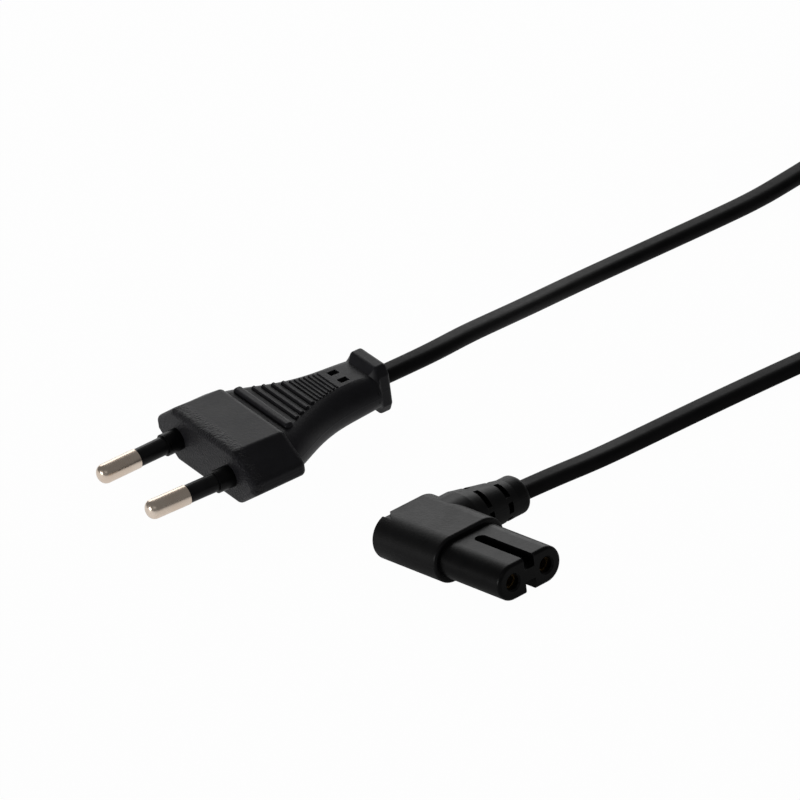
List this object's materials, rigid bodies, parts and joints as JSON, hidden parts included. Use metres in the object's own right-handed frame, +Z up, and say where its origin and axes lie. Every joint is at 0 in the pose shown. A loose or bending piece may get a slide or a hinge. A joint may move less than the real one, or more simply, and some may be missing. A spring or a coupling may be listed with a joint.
{
  "type": "figure eight power connector",
  "caption": "Right angle figure eight mains connector on a flat black lead with a flat mains plug, the spare length coiled and tied.",
  "frame": {"origin": "middle of the connector seen from above, at its flat underside; the lead, its coil and the plug are left out of this box", "axes": "+X the way the nose points, +Y the way the lead leaves the boot, +Z up from the underside"},
  "size_m": [0.1029, 0.255, 0.0155],
  "materials": {
    "soft_black": "satin",
    "hard_black": "satin",
    "cord_black": "satin",
    "sleeve_black": "gloss",
    "nickel": "polished",
    "brass": "satin",
    "copper": "satin",
    "core_blue": "satin",
    "core_brown": "satin",
    "tie": "matte"
  },
  "bodies": {
    "root": {"connector_body": "soft_black", "nose_insert": "hard_black", "contact_blue": "brass", "contact_brown": "brass", "blue_core_connector": "core_blue", "brown_core_connector": "core_brown", "blue_strands_connector": "copper", "brown_strands_connector": "copper", "plug_body": "soft_black", "pin_bridge": "hard_black", "pin_blue": "nickel", "sleeve_blue": "sleeve_black", "blue_core_plug": "core_blue", "blue_strands_plug": "copper", "pin_brown": "nickel", "sleeve_brown": "sleeve_black", "brown_core_plug": "core_brown", "brown_strands_plug": "copper", "cord_plug_side": "cord_black", "cord_connector_side": "cord_black", "cord_coil": "cord_black", "coil_tie": "tie"}
  },
  "joints": []
}
